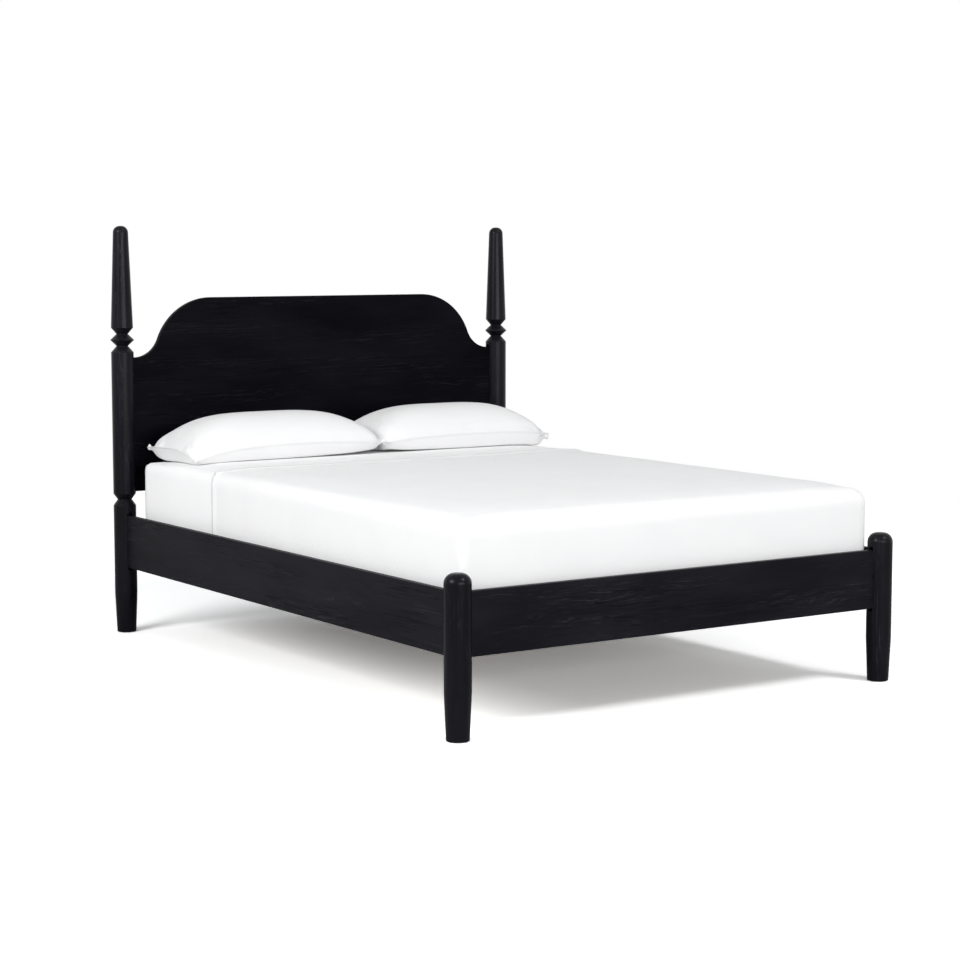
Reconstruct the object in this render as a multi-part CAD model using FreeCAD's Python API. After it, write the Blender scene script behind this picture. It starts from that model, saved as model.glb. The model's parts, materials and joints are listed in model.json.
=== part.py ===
import FreeCAD, Part
import math
import os

from FreeCAD import Vector

# A two-poster bed for a queen mattress: turned posts, a shaped headboard, housed rails and a slatted deck.
# Millimetres. +Z is up, the foot end faces -Y, and the origin is on the floor under the middle of the bed.

# Stock: rails and headboard are sawn from boards of one thickness, centred on the post axes
board = 21
half_board = board / 2
board_edge = 2

# Mattress, and the room the frame leaves round it
mattress_width = 1524
mattress_length = 2032
mattress_height = 250
mattress_corner = 18
mattress_top_edge = 55
mattress_bottom_edge = 45
side_room = 22.5
foot_room = 21
head_room = 84

# Bed plan: distances between the axes of the posts
across = mattress_width + 2 * side_room + board
along = mattress_length + foot_room + head_room + board
half_across = across / 2
half_along = along / 2
mattress_place = (foot_room - head_room) / 2
mattress_head = mattress_place + mattress_length / 2

# Rails
rail_bottom = 234
rail_height = 186
rail_top = rail_bottom + rail_height

# Posts
post_radius = 39.5
foot_radius = 33.5
foot_taper = 140
groove_depth = 15
groove_height = 42
head_groove_middle = 475
shaft_top = 996
neck_radius = 20
neck_height = 22
bead_radius = 41.5
bead_height = 42
finial_radius = 38.7
finial_tip_radius = 26.3
finial_round = 17
finial_band_count = 2
head_post_top = 1435
foot_post_top = 473
foot_post_round = 29.5
foot_post_band_count = 2

# Mortises: slots with half-round ends, cut square to the post
mortise_depth = 15
mortise_play = 0.2
mortise_end_play = 0.3
mortise_half_width = half_board + mortise_play
mortise_floor = post_radius - mortise_depth
board_end = mortise_floor + mortise_end_play

# Headboard panel
panel_bottom = 501
panel_top = 1184.5
panel_side_top = 976
shoulder_radius = 225
hollow_radius = 98
shoulder_start = 447

# Headboard dowels
dowel_radius = 5
dowel_length = 70
dowel_count = 3
dowel_margin = 75

# Slatted deck
slat_count = 14
slat_width = 80
slat_thickness = 18
deck_top = 372
deck_bottom = deck_top - slat_thickness
slat_play = 2
deck_end_gap = 38.5
deck_length = along - board - 2 * deck_end_gap
ledger_height = 30
ledger_depth = 25
ledger_post_gap = 5
strap_width = 38
strap_thickness = 1.5
strap_place = 560

# Centre beam, its hangers and its leg
beam_width = 28
beam_height = 70
beam_bottom = deck_bottom - beam_height
hanger_steel = 2
hanger_play = 0.5
hanger_reach = 32
hanger_cheek = 48
hanger_flange = 22
leg_radius = 20
leg_bottom = 20
leg_bore_height = 55
leg_bore_play = 0.5
insert_radius = 6
insert_height = 16

# Levelling foot
stud_radius = 4
stud_play = 0.08
stud_top = 62
pad_radius = 15
pad_height = 8
pad_grip = 5

# Corner hardware
plate_steel = 2.5
plate_bottom = 244
plate_height = 70
plate_middle = plate_bottom + plate_height / 2
plate_reach = 78
plate_leg = 46
plate_lip = 7
kerf_play = 0.25
bolt_radius = 4
bolt_play = 0.5
bolt_root = 6
bolt_proud = 3
washer_radius = 8
washer_thickness = 1.6
nut_width = 13
nut_height = 6.5
leg_stud_half = 38

# Wood screws with countersunk heads
screw_radius = 2.2
screw_head_radius = 4.4
screw_head_height = 2.6
ledger_screw_length = 38
ledger_screw_count = 5
ledger_screw_margin = 134
slat_screw_length = 36
plate_screw_length = 18
hanger_screw_length = 18

# Glides nailed under the posts
glide_radius = 14
glide_height = 4
glide_recess = 2
glide_play = 0.2
glide_nail_radius = 1.3
glide_nail = 18
post_bottom = glide_height - glide_recess

# Sheets
cloth = 1.2
cloth_gap = 0.3
layer = cloth + cloth_gap
fitted_hem = 120
top_sheet_tuck = 160
top_sheet_bare = 424.5
top_sheet_side_drop = 102
top_sheet_turn = 130
top_sheet_edge = mattress_head - top_sheet_bare
top_sheet_side_edge = top_sheet_edge - top_sheet_side_drop
mattress_bottom = deck_top + cloth_gap + cloth + layer
bedding_top = mattress_bottom + mattress_height + layer

# Pillows: crowned above a seam, with a flat seat and sides drawn in between the corners
pillow_length = 750
pillow_depth = 420
pillow_height = 150
pillow_seam = 46
pillow_seam_band = 18
pillow_draw = 14
pillow_seat_share = 0.7
pillow_belly = 13
pillow_seat_gap = 0.3
pillow_back_gap = 5.5
pillow_between = 2
pillow_inset = 15
pillow_place = half_along - half_board - pillow_back_gap - pillow_depth / 2
left_pillow_end = pillow_inset - mattress_width / 2

# Small round pieces repeat often, so they are drawn with flats
small_flat_count = 6
wide_flat_count = 10
nut_flat_count = 6

# Cutting tools run past a face by this much
overrun = 10

origin = Vector(0, 0, 0)
x_axis = Vector(1, 0, 0)
y_axis = Vector(0, 1, 0)
z_axis = Vector(0, 0, 1)


def block(low, high):
    """A box between two opposite corners."""
    size = Vector(*high) - Vector(*low)
    return Part.makeBox(size.x, size.y, size.z, Vector(*low))


def prism(outline, height):
    """An upright prism on a flat outline."""
    corners = [Vector(*corner) for corner in outline]
    return Part.Face(Part.makePolygon(corners + corners[:1])).extrude(Vector(0, 0, height))


def turned(points):
    """A solid turned about the Z axis from profile points given as radius and height."""
    places = [Vector(radius, 0, height) for radius, height in points]
    return Part.Face(Part.makePolygon(places + places[:1])).revolve(origin, z_axis, 360)


def banded_top(radius, top, rounding, band_count):
    """Profile points that round a turned top over to a small flat, in straight bands."""
    turns = [math.pi / 2 * k / band_count for k in range(band_count + 1)]
    inner = radius - rounding
    points = [(inner + rounding * math.cos(turn), top - rounding + rounding * math.sin(turn)) for turn in turns]
    return points + [(0, top)]


def flatted(points, flat_count, place, direction):
    """A small round piece drawn with flats, from profile points given as radius and height."""
    turns = [2 * math.pi * k / flat_count for k in range(flat_count)]
    rings = [[Vector(radius * math.cos(turn), radius * math.sin(turn), height) for turn in turns]
             for radius, height in points]
    outlines = [rings[0][::-1], rings[-1]]
    for low, high in zip(rings, rings[1:]):
        outlines += [[low[k - 1], low[k], high[k], high[k - 1]] for k in range(flat_count)]
    faces = [Part.Face(Part.makePolygon(outline + outline[:1])) for outline in outlines]
    piece = Part.Solid(Part.Shell(faces))
    piece.Placement = FreeCAD.Placement(Vector(*place), FreeCAD.Rotation(z_axis, Vector(*direction)))
    return piece


def bar(radius, length, flat_count, place, direction):
    """A straight round bar drawn with flats."""
    return flatted([(radius, 0), (radius, length)], flat_count, place, direction)


def upright_bar(radius, length, bottom):
    """An upright round bar on the middle axis of a piece, drawn with more flats."""
    return bar(radius, length, wide_flat_count, (0, 0, bottom), (0, 0, 1))


def arc(middle, radius, start, end):
    """An arc in an upright plane, about a point, from one angle to another."""
    turns = (start, (start + end) / 2, end)
    return Part.Arc(*[middle + Vector(math.cos(turn), 0, math.sin(turn)) * radius for turn in turns]).toShape()


def symmetric_bar(right_edges, length):
    """A bar along Y whose section is some edges from axis to axis and their mirror image."""
    left_edges = [edge.mirror(origin, x_axis) for edge in right_edges]
    section = Part.Face(Part.Wire(Part.__sortEdges__(right_edges + left_edges)))
    piece = section.extrude(Vector(0, length, 0))
    piece.translate(Vector(0, -length / 2, 0))
    return piece.removeSplitter()


def post_foot():
    """Profile points of the tapered foot that all four posts share."""
    return [(0, post_bottom), (foot_radius, post_bottom), (post_radius, foot_taper)]


def mortise(bottom, top):
    """The slot of a board end on the +X side of a post, with half-round ends."""
    width = 2 * mortise_half_width
    slot = block((mortise_floor, -mortise_half_width, bottom), (post_radius + overrun, mortise_half_width, top))
    for height in (bottom, top):
        end = Part.makeCylinder(width / 2, mortise_depth + overrun, Vector(mortise_floor, 0, height), x_axis)
        slot = slot.fuse(end)
    return slot.removeSplitter()


def quarter_turned(shape):
    """The same shape turned from the +X side of a post to its +Y side."""
    turned_shape = shape.copy()
    turned_shape.rotate(origin, z_axis, 90)
    return turned_shape


def glide(play=0):
    """A round glide with its nail."""
    disc = upright_bar(glide_radius + play, glide_height, 0)
    nail = bar(glide_nail_radius, glide_height + glide_nail, small_flat_count, (0, 0, 0), (0, 0, 1))
    return disc.fuse(nail).removeSplitter()


def along_diagonal(radius, start, end, flat_count):
    """A bar on the inner diagonal of a corner, at the height of the corner plate's middle."""
    reach = start * math.sqrt(0.5)
    return bar(radius, end - start, flat_count, (reach, reach, plate_middle), (1, 1, 0))


def corner_plate_face():
    """How far the diagonal face of the corner plate stands from the post's axis."""
    return (plate_reach + 2 * half_board) * math.sqrt(0.5)


def corner_bolt():
    """The hanger bolt that runs out of the post through the corner plate."""
    end = corner_plate_face() + plate_steel + washer_thickness + nut_height + bolt_proud
    return along_diagonal(bolt_radius, bolt_root, end, small_flat_count)


def corner_washer():
    """The washer on the corner plate."""
    face = corner_plate_face() + plate_steel
    ring = along_diagonal(washer_radius, face, face + washer_thickness, wide_flat_count)
    return ring.cut(along_diagonal(bolt_radius + bolt_play, face - overrun, face + overrun, small_flat_count))


def corner_nut():
    """The hexagon nut on the washer."""
    face = corner_plate_face() + plate_steel + washer_thickness
    nut_radius = nut_width / 2 / math.cos(math.pi / nut_flat_count)
    return along_diagonal(nut_radius, face, face + nut_height, nut_flat_count).cut(corner_bolt())


def corner_plate():
    """A bent plate from rail to rail across the corner, with a lip in a kerf of each rail."""
    near = half_board + plate_reach
    far = near + plate_leg
    bend = near + plate_steel * (math.sqrt(2) - 1)
    half_outline = [
        (half_board, near),
        (half_board, far - plate_steel),
        (half_board - plate_lip, far - plate_steel),
        (half_board - plate_lip, far),
        (half_board + plate_steel, far),
        (half_board + plate_steel, bend),
    ]
    other_half = [(y, x) for x, y in reversed(half_outline)]
    plate = prism([(x, y, plate_bottom) for x, y in half_outline + other_half], plate_height)
    middle = corner_plate_face()
    bolt_hole = along_diagonal(bolt_radius + bolt_play, middle - overrun, middle + overrun, small_flat_count)
    return plate.cut([bolt_hole] + corner_plate_screws())


def screw(place, direction, length):
    """A countersunk wood screw whose head lies flush at a place and which runs along a direction."""
    points = [(screw_head_radius, 0), (screw_radius, screw_head_height), (screw_radius, length)]
    return flatted(points, small_flat_count, place, direction)


def corner_plate_screws():
    """One screw through each leg of the corner plate."""
    face = half_board + plate_steel
    leg_middle = half_board + plate_reach + plate_leg / 2
    into_side_rail = screw((face, leg_middle, plate_middle), (-1, 0, 0), plate_screw_length)
    into_end_rail = screw((leg_middle, face, plate_middle), (0, -1, 0), plate_screw_length)
    return [into_side_rail, into_end_rail]


def corner_kerfs():
    """The saw kerfs that the lips of the corner plate sit in."""
    far = half_board + plate_reach + plate_leg
    side = block(
        (half_board - plate_lip - kerf_play, far - plate_steel - kerf_play, plate_bottom - kerf_play),
        (half_board + overrun, far + kerf_play, plate_bottom + plate_height + kerf_play),
    )
    return [side, side.mirror(origin, Vector(1, -1, 0))]


def to_corner(shape, side_x, side_y):
    """A shape of the foot left corner, whose post stands on the origin, set at any corner of the bed."""
    placed = shape.copy()
    if side_x > 0:
        placed = placed.mirror(origin, x_axis)
    if side_y > 0:
        placed = placed.mirror(origin, y_axis)
    placed.translate(Vector(side_x * half_across, side_y * half_along, 0))
    return placed


def at_each_corner(shapes):
    """Copies of some shapes at the four corners."""
    return [to_corner(shape, side_x, side_y) for side_x in (-1, 1) for side_y in (-1, 1) for shape in shapes]


def foot_post():
    """A short post of the foot end, with its two rail mortises."""
    post = turned(post_foot() + banded_top(post_radius, foot_post_top, foot_post_round, foot_post_band_count))
    rail_slot = mortise(rail_bottom, rail_top)
    return post.cut([rail_slot, quarter_turned(rail_slot), glide(glide_play), corner_bolt()])


def head_post():
    """A tall turned post of the head end, with its rail mortises and the slot of the headboard."""
    groove_radius = post_radius - groove_depth
    neck_low = shaft_top + neck_height
    neck_high = neck_low + bead_height
    waist = [
        (post_radius, head_groove_middle - groove_height / 2),
        (groove_radius, head_groove_middle),
        (post_radius, head_groove_middle + groove_height / 2),
        (post_radius, shaft_top),
        (neck_radius, neck_low),
        (bead_radius, neck_low + bead_height / 2),
        (neck_radius, neck_high),
        (finial_radius, neck_high + neck_height),
    ]
    post = turned(post_foot() + waist + banded_top(finial_tip_radius, head_post_top, finial_round, finial_band_count))
    side_slot = quarter_turned(mortise(rail_bottom, rail_top))
    end_slot = mortise(rail_bottom, deck_top)
    panel_slot = mortise(panel_bottom, panel_side_top)
    holes = [to_post(dowel) for dowel in left_dowels()] + [glide(glide_play), corner_bolt()]
    return post.cut([side_slot, end_slot, panel_slot] + holes)


def to_post(shape):
    """A shape of the head left corner brought back to the post that stands on the origin."""
    moved = shape.copy()
    moved.translate(Vector(half_across, -half_along, 0))
    return moved


def left_dowels():
    """The dowels between the left head post and the panel."""
    start = board_end - dowel_length / 2 - half_across
    span = panel_side_top - panel_bottom - 2 * dowel_margin
    heights = [panel_bottom + dowel_margin + span * k / (dowel_count - 1) for k in range(dowel_count)]
    return [bar(dowel_radius, dowel_length, small_flat_count, (start, half_along, height), (1, 0, 0))
            for height in heights]


def dowels():
    """The dowels of both ends of the panel."""
    left = left_dowels()
    return left + [dowel.mirror(origin, x_axis) for dowel in left]


def headboard():
    """The shaped panel with a convex and a hollow curve at each shoulder, its edges eased."""
    side = half_across - board_end
    reach = shoulder_radius + hollow_radius
    shoulder = Vector(shoulder_start, 0, panel_top - shoulder_radius)
    rise = panel_side_top + hollow_radius - shoulder.z
    hollow = shoulder + Vector(math.sqrt(reach ** 2 - rise ** 2), 0, rise)
    turn = math.atan2(rise, hollow.x - shoulder.x)
    top_corners = [Vector(0, 0, panel_top), Vector(shoulder_start, 0, panel_top)]
    side_corners = [
        Vector(hollow.x, 0, panel_side_top),
        Vector(side, 0, panel_side_top),
        Vector(side, 0, panel_bottom),
        Vector(0, 0, panel_bottom),
    ]
    curves = [
        arc(shoulder, shoulder_radius, math.pi / 2, turn),
        arc(hollow, hollow_radius, turn + math.pi, math.pi * 3 / 2),
    ]
    lines = Part.makePolygon(top_corners).Edges + Part.makePolygon(side_corners).Edges
    panel = symmetric_bar(lines + curves, board)
    panel = panel.makeChamfer(board_edge, [edge for edge in panel.Edges if edge.BoundBox.XLength > board_edge])
    panel.translate(Vector(0, half_along, 0))
    return panel.cut(dowels())


def eased_board(low, high):
    """A board with its long edges eased."""
    plain = block(low, high)
    longest = max(edge.Length for edge in plain.Edges)
    return plain.makeChamfer(board_edge, [edge for edge in plain.Edges if edge.Length > longest - overrun])


def side_rail(side_x):
    """A side rail, with its kerfs and screw holes."""
    end = half_along - board_end
    middle = side_x * half_across
    rail = eased_board((middle - half_board, -end, rail_bottom), (middle + half_board, end, rail_top))
    return rail.cut(at_each_corner(corner_kerfs() + corner_plate_screws()) + ledger_screws())


def end_rail(side_y, top):
    """The foot rail or the lower head rail, with its kerfs and screw holes."""
    end = half_across - board_end
    middle = side_y * half_along
    rail = eased_board((-end, middle - half_board, rail_bottom), (end, middle + half_board, top))
    return rail.cut(at_each_corner(corner_kerfs() + corner_plate_screws()) + hanger_screws())


def ledger(side_x):
    """A strip on the inner face of a side rail that carries the slat ends."""
    face = half_across - half_board
    end = half_along - post_radius - ledger_post_gap
    near = side_x * face
    far = side_x * (face - ledger_depth)
    low = (min(near, far), -end, deck_bottom - ledger_height)
    high = (max(near, far), end, deck_bottom)
    return block(low, high).cut(ledger_screws() + slat_screws())


def ledger_screws():
    """The screws through both ledgers into the side rails."""
    face = half_across - half_board - ledger_depth
    height = deck_bottom - ledger_height / 2
    reach = half_along - ledger_screw_margin
    places = [-reach + 2 * reach * k / (ledger_screw_count - 1) for k in range(ledger_screw_count)]
    return [screw((side * face, place, height), (side, 0, 0), ledger_screw_length)
            for side in (-1, 1) for place in places]


def slat_places():
    """The Y of the middle of each slat, from foot to head."""
    first = (slat_width - deck_length) / 2
    return [first - 2 * first * k / (slat_count - 1) for k in range(slat_count)]


def slat_screws():
    """The screws that fix the first and the last slat to the ledgers."""
    reach = half_across - half_board - ledger_depth / 2
    places = slat_places()
    return [screw((side * reach, place, deck_top), (0, 0, -1), slat_screw_length)
            for side in (-1, 1) for place in (places[0], places[-1])]


def slat(place):
    """One slat of the deck."""
    end = half_across - half_board - slat_play
    board_block = block((-end, place - slat_width / 2, deck_bottom), (end, place + slat_width / 2, deck_top))
    return board_block.cut(slat_screws())


def strap(side_x):
    """A webbing strap under the slats that keeps them apart."""
    middle = side_x * strap_place
    half_length = deck_length / 2
    return block(
        (middle - strap_width / 2, -half_length, deck_bottom - strap_thickness),
        (middle + strap_width / 2, half_length, deck_bottom),
    )


def beam_end():
    """The Y of the end of the centre beam, where it meets the back of its hanger."""
    return half_along - half_board - hanger_steel - hanger_play


def centre_beam():
    """The beam from head to foot under the middle of the slats."""
    end = beam_end()
    beam = block((-beam_width / 2, -end, beam_bottom), (beam_width / 2, end, deck_bottom))
    return beam.cut(leg_stud())


def beam_hanger(side_y):
    """A steel saddle on an end rail that carries the end of the beam."""
    face = half_along - half_board
    inner = beam_width / 2 + hanger_play
    outer = inner + hanger_steel
    low = beam_bottom - hanger_steel
    high = beam_bottom + hanger_cheek
    front = face - hanger_steel - hanger_reach
    saddle = block((-outer, front, low), (outer, face, high))
    saddle = saddle.cut(block((-inner, front - overrun, beam_bottom), (inner, face - hanger_steel, high + overrun)))
    flange = outer + hanger_flange
    saddle = saddle.fuse(block((-flange, face - hanger_steel, low), (flange, face, high))).removeSplitter()
    if side_y < 0:
        saddle = saddle.mirror(origin, y_axis)
    return saddle.cut(hanger_screws())


def hanger_screws():
    """Two screws through the flanges of each beam hanger."""
    reach = beam_width / 2 + hanger_play + hanger_steel + hanger_flange / 2
    face = half_along - half_board - hanger_steel
    height = beam_bottom + hanger_cheek / 2
    return [screw((side * reach, end * face, height), (0, end, 0), hanger_screw_length)
            for side in (-1, 1) for end in (-1, 1)]


def leg_stud():
    """The stud between the centre leg and the beam."""
    return upright_bar(stud_radius, 2 * leg_stud_half, beam_bottom - leg_stud_half)


def centre_leg():
    """The round leg under the middle of the beam."""
    leg = Part.makeCylinder(leg_radius, beam_bottom - leg_bottom, Vector(0, 0, leg_bottom))
    insert_hole = upright_bar(insert_radius, insert_height, leg_bottom)
    bore = upright_bar(stud_radius + leg_bore_play, leg_bore_height, leg_bottom)
    return leg.cut([insert_hole, bore, leg_stud()])


def leg_insert():
    """The threaded insert in the foot of the centre leg, its thread drawn plain."""
    sleeve = upright_bar(insert_radius, insert_height, leg_bottom)
    return sleeve.cut(upright_bar(stud_radius + stud_play, insert_height, leg_bottom))


def foot_stud():
    """The stud of the levelling foot."""
    low = pad_height - pad_grip
    return upright_bar(stud_radius, stud_top - low, low)


def foot_pad():
    """The round pad of the levelling foot."""
    return upright_bar(pad_radius, pad_height, 0).cut(foot_stud())


def crossed(across_edges, along_edges, plan):
    """A cushion with one section across its width and another along its length, inside an upright plan."""
    reach = mattress_length + overrun
    wide = symmetric_bar(across_edges, reach)
    long = symmetric_bar(along_edges, reach)
    long.rotate(origin, z_axis, 90)
    return plan.common(wide).common(long)


def slab_section(half, growth):
    """The right half of a section of the mattress, grown on all sides."""
    low = -growth
    high = mattress_height + growth
    low_round = mattress_bottom_edge + growth
    high_round = mattress_top_edge + growth
    bottom = Part.makeLine(Vector(0, 0, low), Vector(half - low_round, 0, low))
    upright = Part.makeLine(Vector(half, 0, low + low_round), Vector(half, 0, high - high_round))
    top = Part.makeLine(Vector(half - high_round, 0, high), Vector(0, 0, high))
    low_arc = arc(Vector(half - low_round, 0, low + low_round), low_round, -math.pi / 2, 0)
    high_arc = arc(Vector(half - high_round, 0, high - high_round), high_round, 0, math.pi / 2)
    return [bottom, low_arc, upright, high_arc, top]


def soft_slab(growth):
    """The rounded shape of the mattress, grown on all sides."""
    half_width = mattress_width / 2 + growth
    half_length = mattress_length / 2 + growth
    plan = block((-half_width, -half_length, -growth), (half_width, half_length, mattress_height + growth))
    corners = [edge for edge in plan.Edges if edge.BoundBox.ZLength > overrun]
    plan = plan.makeFillet(mattress_corner + growth, corners)
    slab = crossed(slab_section(half_width, growth), slab_section(half_length, growth), plan)
    slab.translate(Vector(0, mattress_place, mattress_bottom))
    return slab


def cloth_shell(inside, outside):
    """A sheet of cloth round the mattress, between two growths of its shape."""
    return soft_slab(outside).cut(soft_slab(inside))


def fitted_sheet():
    """The fitted sheet, open under the mattress inside its hem."""
    half_width = mattress_width / 2 - fitted_hem
    half_length = mattress_length / 2 - fitted_hem
    opening = block(
        (-half_width, mattress_place - half_length, mattress_bottom - overrun),
        (half_width, mattress_place + half_length, mattress_bottom + overrun),
    )
    return cloth_shell(cloth_gap, cloth_gap + cloth).cut(opening)


def top_sheet():
    """The flat sheet over the foot part, tucked under at the sides and the foot."""
    half_width = mattress_width / 2 - top_sheet_tuck
    foot = mattress_head - mattress_length + top_sheet_tuck
    opening = block(
        (-half_width, foot, mattress_bottom - overrun),
        (half_width, mattress_head + overrun, mattress_bottom + overrun),
    )
    shell = cloth_shell(cloth_gap + layer, 2 * layer)
    return shell.cut([opening, bare_head()])


def bare_head():
    """The space over the head part that the top sheet leaves bare, with its rounded turn at each side."""
    reach = mattress_width / 2 + overrun
    turn = mattress_width / 2 - top_sheet_turn
    head = mattress_head + overrun
    drop = top_sheet_side_drop * (1 - math.sqrt(0.5))
    bow = Vector(turn + top_sheet_turn * math.sqrt(0.5), top_sheet_edge - drop, 0)
    right = Part.Arc(Vector(turn, top_sheet_edge, 0), bow, Vector(reach, top_sheet_side_edge, 0)).toShape()
    left = right.mirror(origin, x_axis)
    edge_line = Part.makeLine(Vector(-turn, top_sheet_edge, 0), Vector(turn, top_sheet_edge, 0))
    sides = Part.makePolygon([
        Vector(reach, top_sheet_side_edge, 0),
        Vector(reach, head, 0),
        Vector(-reach, head, 0),
        Vector(-reach, top_sheet_side_edge, 0),
    ]).Edges
    outline = Part.Wire(Part.__sortEdges__([right, left, edge_line] + sides))
    return Part.Face(outline).extrude(Vector(0, 0, bedding_top + mattress_height))


def pillow_section(half):
    """The right half of a section of a pillow: seat, belly, seam and crown."""
    seat = Vector(half * pillow_seat_share, 0, 0)
    seam_low = Vector(half, 0, pillow_seam)
    seam_high = Vector(half, 0, pillow_seam + pillow_seam_band)
    belly_middle = (seat + seam_low) * 0.5 + Vector(pillow_belly, 0, -pillow_belly)
    rise = pillow_height - seam_high.z
    radius = (half ** 2 + rise ** 2) / (2 * rise)
    crown = arc(Vector(0, 0, pillow_height - radius), radius, math.acos(half / radius), math.pi / 2)
    return [
        Part.makeLine(origin, seat),
        Part.Arc(seat, belly_middle, seam_low).toShape(),
        Part.makeLine(seam_low, seam_high),
        crown,
    ]


def pillow(left_end):
    """A filled pillow."""
    half_length = pillow_length / 2
    half_depth = pillow_depth / 2
    corners = [(half_length, half_depth), (-half_length, half_depth),
               (-half_length, -half_depth), (half_length, -half_depth)]
    places = [Vector(x, y, 0) for x, y in corners]
    side_middles = [
        Vector(0, half_depth - pillow_draw, 0),
        Vector(pillow_draw - half_length, 0, 0),
        Vector(0, pillow_draw - half_depth, 0),
        Vector(half_length - pillow_draw, 0, 0),
    ]
    sides = [Part.Arc(places[k - 1], side_middles[k - 1], places[k]).toShape() for k in range(4)]
    plan = Part.Face(Part.Wire(sides)).extrude(Vector(0, 0, pillow_height))
    form = crossed(pillow_section(half_length), pillow_section(half_depth), plan)
    form.translate(Vector(left_end + half_length, pillow_place, bedding_top + pillow_seat_gap))
    return form


def export(name, *solids):
    """Write one node."""
    shape = solids[0] if len(solids) == 1 else Part.makeCompound(list(solids))
    shape.exportStep(os.path.join("parts", name + ".step"))


def export_frame():
    """Posts, headboard and rails."""
    export("foot_post_left", to_corner(foot_post(), -1, -1))
    export("foot_post_right", to_corner(foot_post(), 1, -1))
    export("head_post_left", to_corner(head_post(), -1, 1))
    export("head_post_right", to_corner(head_post(), 1, 1))
    export("headboard_panel", headboard())
    export("side_rail_left", side_rail(-1))
    export("side_rail_right", side_rail(1))
    export("foot_rail", end_rail(-1, rail_top))
    export("head_rail", end_rail(1, deck_top))
    export("headboard_dowels", *dowels())
    export("post_glides", *at_each_corner([glide()]))


def export_corners():
    """The hardware that joins the rails to the posts."""
    export("corner_plates", *at_each_corner([corner_plate()]))
    export("corner_plate_screws", *at_each_corner(corner_plate_screws()))
    export("corner_bolts", *at_each_corner([corner_bolt()]))
    export("corner_washers", *at_each_corner([corner_washer()]))
    export("corner_nuts", *at_each_corner([corner_nut()]))


def export_deck():
    """Ledgers, slats, straps, beam and centre leg."""
    export("ledger_left", ledger(-1))
    export("ledger_right", ledger(1))
    export("ledger_screws", *ledger_screws())
    for number, place in enumerate(slat_places(), 1):
        export("slat_%02d" % number, slat(place))
    export("slat_screws", *slat_screws())
    export("slat_strap_left", strap(-1))
    export("slat_strap_right", strap(1))
    export("centre_beam", centre_beam())
    export("beam_hanger_foot", beam_hanger(-1))
    export("beam_hanger_head", beam_hanger(1))
    export("beam_hanger_screws", *hanger_screws())
    export("centre_leg", centre_leg())
    export("centre_leg_stud", leg_stud())
    export("centre_leg_insert", leg_insert())
    export("levelling_foot_stud", foot_stud())
    export("levelling_foot_pad", foot_pad())


def export_bedding():
    """Mattress, sheets and pillows."""
    export("mattress", soft_slab(0))
    export("fitted_sheet", fitted_sheet())
    export("top_sheet", top_sheet())
    export("pillow_left", pillow(left_pillow_end))
    export("pillow_right", pillow(left_pillow_end + pillow_length + pillow_between))


os.makedirs("parts", exist_ok=True)
export_frame()
export_corners()
export_deck()
export_bedding()
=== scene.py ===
import json
import math
import random

import bmesh
import bpy
from mathutils import Matrix, Vector, noise

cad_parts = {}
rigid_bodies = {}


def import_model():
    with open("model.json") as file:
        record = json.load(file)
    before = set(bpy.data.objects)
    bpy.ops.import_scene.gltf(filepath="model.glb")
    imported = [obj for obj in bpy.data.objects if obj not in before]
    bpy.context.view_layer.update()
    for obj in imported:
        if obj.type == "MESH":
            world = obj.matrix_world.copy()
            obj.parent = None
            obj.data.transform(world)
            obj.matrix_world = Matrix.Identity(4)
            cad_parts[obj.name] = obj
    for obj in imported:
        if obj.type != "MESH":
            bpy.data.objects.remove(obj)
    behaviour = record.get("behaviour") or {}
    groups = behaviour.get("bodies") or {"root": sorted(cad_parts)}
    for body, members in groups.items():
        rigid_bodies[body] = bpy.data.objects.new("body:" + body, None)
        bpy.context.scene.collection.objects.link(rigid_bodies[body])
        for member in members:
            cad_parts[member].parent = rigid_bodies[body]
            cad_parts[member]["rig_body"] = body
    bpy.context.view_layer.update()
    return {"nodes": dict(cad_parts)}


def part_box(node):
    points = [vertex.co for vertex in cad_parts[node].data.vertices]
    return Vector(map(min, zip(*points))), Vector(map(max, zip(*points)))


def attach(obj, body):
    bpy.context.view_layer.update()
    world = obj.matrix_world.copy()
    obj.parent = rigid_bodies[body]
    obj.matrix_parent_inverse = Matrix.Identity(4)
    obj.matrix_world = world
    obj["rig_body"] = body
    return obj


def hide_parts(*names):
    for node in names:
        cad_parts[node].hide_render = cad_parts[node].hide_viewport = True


# A two-poster bed, dressed round its CAD frame. Metres, in the frame's axes: +Z up, foot end towards -Y.

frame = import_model()
scene = bpy.context.scene

# Turned posts
foot_radius = 0.0335
foot_taper = 0.14
foot_dome = 0.0295
groove_middle = 0.475
groove_height = 0.042
groove_depth = 0.015
shaft_top = 0.996
neck_radius = 0.02
neck_height = 0.022
bead_height = 0.042
finial_radius = 0.0387
finial_top_radius = 0.0257
finial_dome = 0.0235
finial_rise = 0.0035
arris = 0.0014
soft_arris = 0.012
turning_steps = 96
arc_steps = 10

# Mortises with half-round ends
mortise_depth = 0.015
mortise_play = 0.0002
mortise_steps = 16

# Boards and the shaped headboard
board_edge = 0.0028
rail_end_round = 0.024
corner_steps = 8
curve_steps = 28
slat_edge = 0.0022
steel_edge = 0.0004
ease_steps = 3
plain_ease_steps = 2
sharp_angle = math.pi / 6
weld_distance = 0.00001
headboard_side_top = 0.976
shoulder_start = 0.447
shoulder_radius = 0.225
hollow_radius = 0.098

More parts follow.
